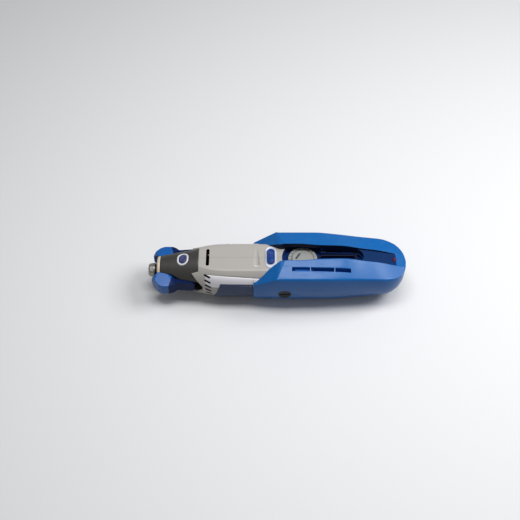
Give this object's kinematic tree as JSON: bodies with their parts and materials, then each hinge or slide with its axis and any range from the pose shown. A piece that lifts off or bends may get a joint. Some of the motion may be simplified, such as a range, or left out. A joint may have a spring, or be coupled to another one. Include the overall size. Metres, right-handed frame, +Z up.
{
  "type": "rotary tool",
  "caption": "Hand-held corded rotary tool with a lever-released collet at the nose, shaft-lock button, slide switch, speed dial and a folding hanger in the tail.",
  "frame": {"origin": "centre of the bounding box's base, on the surface the tool lies on", "axes": "+X along the spindle from the collet to the tail, +Y to the tool's right seen from the tail, +Z up through the switch and dial"},
  "size_m": [0.23, 0.056, 0.0499],
  "materials": {
    "housing_grey": "fine moulded texture",
    "shell_blue": "semi-gloss",
    "lever_blue": "semi-gloss",
    "grip_navy": "soft-touch",
    "nose_rubber": "soft-touch",
    "nose_plastic": "moulded",
    "rim_beige": "moulded",
    "ring_white": "gloss",
    "button_navy": "gloss",
    "switch_blue": "gloss",
    "surround_pale": "gloss",
    "dial_grey": "moulded",
    "mark_green": "painted",
    "well_black": "moulded",
    "lamp_red": "clear lens",
    "nut_steel": "turned",
    "collet_steel": "ground",
    "spindle_steel": "ground",
    "bearing_steel": "polished",
    "boot_rubber": "moulded",
    "core_steel": "laminated, varnished",
    "copper": "enamelled wire",
    "fan_plastic": "moulded",
    "brass_part": "pressed",
    "carbon": "carbon",
    "spring_steel": "drawn wire",
    "yoke_steel": "pressed",
    "switch_black": "moulded",
    "link_white": "moulded",
    "board_green": "varnished laminate",
    "pot_green": "moulded",
    "cap_black": "moulded",
    "gland_black": "moulded",
    "screw_steel": "black oxide",
    "hanger_black": "moulded"
  },
  "bodies": {
    "housing": {"housing_left": "housing_grey", "housing_right": "housing_grey", "belly_grip": "grip_navy", "nose_core": "nose_plastic", "nose_grip_top": "nose_rubber", "nose_grip_bottom": "nose_rubber", "nose_rim": "rim_beige", "lock_button_ring": "ring_white", "rear_shell_left": "shell_blue", "rear_shell_right": "shell_blue", "switch_surround": "surround_pale", "well_floor": "well_black", "front_bearing": "bearing_steel", "rear_bearing": "bearing_steel", "bearing_boot": "boot_rubber", "field_stator": "core_steel", "field_coils": "copper", "fan_baffle": "fan_plastic", "brush_holders": "brass_part", "brushes": "carbon", "brush_springs": "spring_steel", "brush_caps": "cap_black", "switch_module": "switch_black", "speed_board": "board_green", "speed_control": "pot_green", "power_lamp": "lamp_red", "cord_gland": "gland_black", "housing_screws": "screw_steel", "release_spring": "spring_steel", "lock_spring": "spring_steel"},
    "rotor": {"armature_shaft": "spindle_steel", "armature_core": "core_steel", "armature_windings": "copper", "commutator": "copper", "fan": "fan_plastic", "drive_spindle": "spindle_steel", "collet": "collet_steel", "collet_nut": "nut_steel"},
    "levers": {"lever_left": "lever_blue", "lever_right": "lever_blue", "release_yoke": "yoke_steel"},
    "lock_button": {"lock_button": "button_navy"},
    "switch": {"switch_slider": "switch_blue", "switch_link": "link_white"},
    "dial": {"speed_dial": "dial_grey", "dial_pointer": "mark_green"},
    "hanger": {"hanger_bail": "hanger_black"}
  },
  "joints": [
    {"name": "spindle_spin", "type": "hinge", "parent": "housing", "child": "rotor", "pos_m": [0, 0, 0.0234], "axis": [1, 0, 0], "continuous": true},
    {"name": "lever_slide", "type": "slide", "parent": "housing", "child": "levers", "axis": [1, 0, 0], "range_m": [0, 0.0045], "stiffness_N_per_m": 800, "deforming": ["release_spring"]},
    {"name": "lock_press", "type": "slide", "parent": "housing", "child": "lock_button", "axis": [0, 0, -1], "range_m": [0, 0.0024], "stiffness_N_per_m": 300, "deforming": ["lock_spring"]},
    {"name": "switch_slide", "type": "slide", "parent": "housing", "child": "switch", "axis": [-1, 0, 0], "range_m": [0, 0.0035]},
    {"name": "dial_turn", "type": "hinge", "parent": "housing", "child": "dial", "pos_m": [0.023, 0, 0.0384], "axis": [0, 0, 1], "range_deg": [0, 270]},
    {"name": "hanger_swing", "type": "hinge", "parent": "housing", "child": "hanger", "pos_m": [0.0701, 0, 0.039], "axis": [0, 1, 0], "range_deg": [0, 115]}
  ]
}
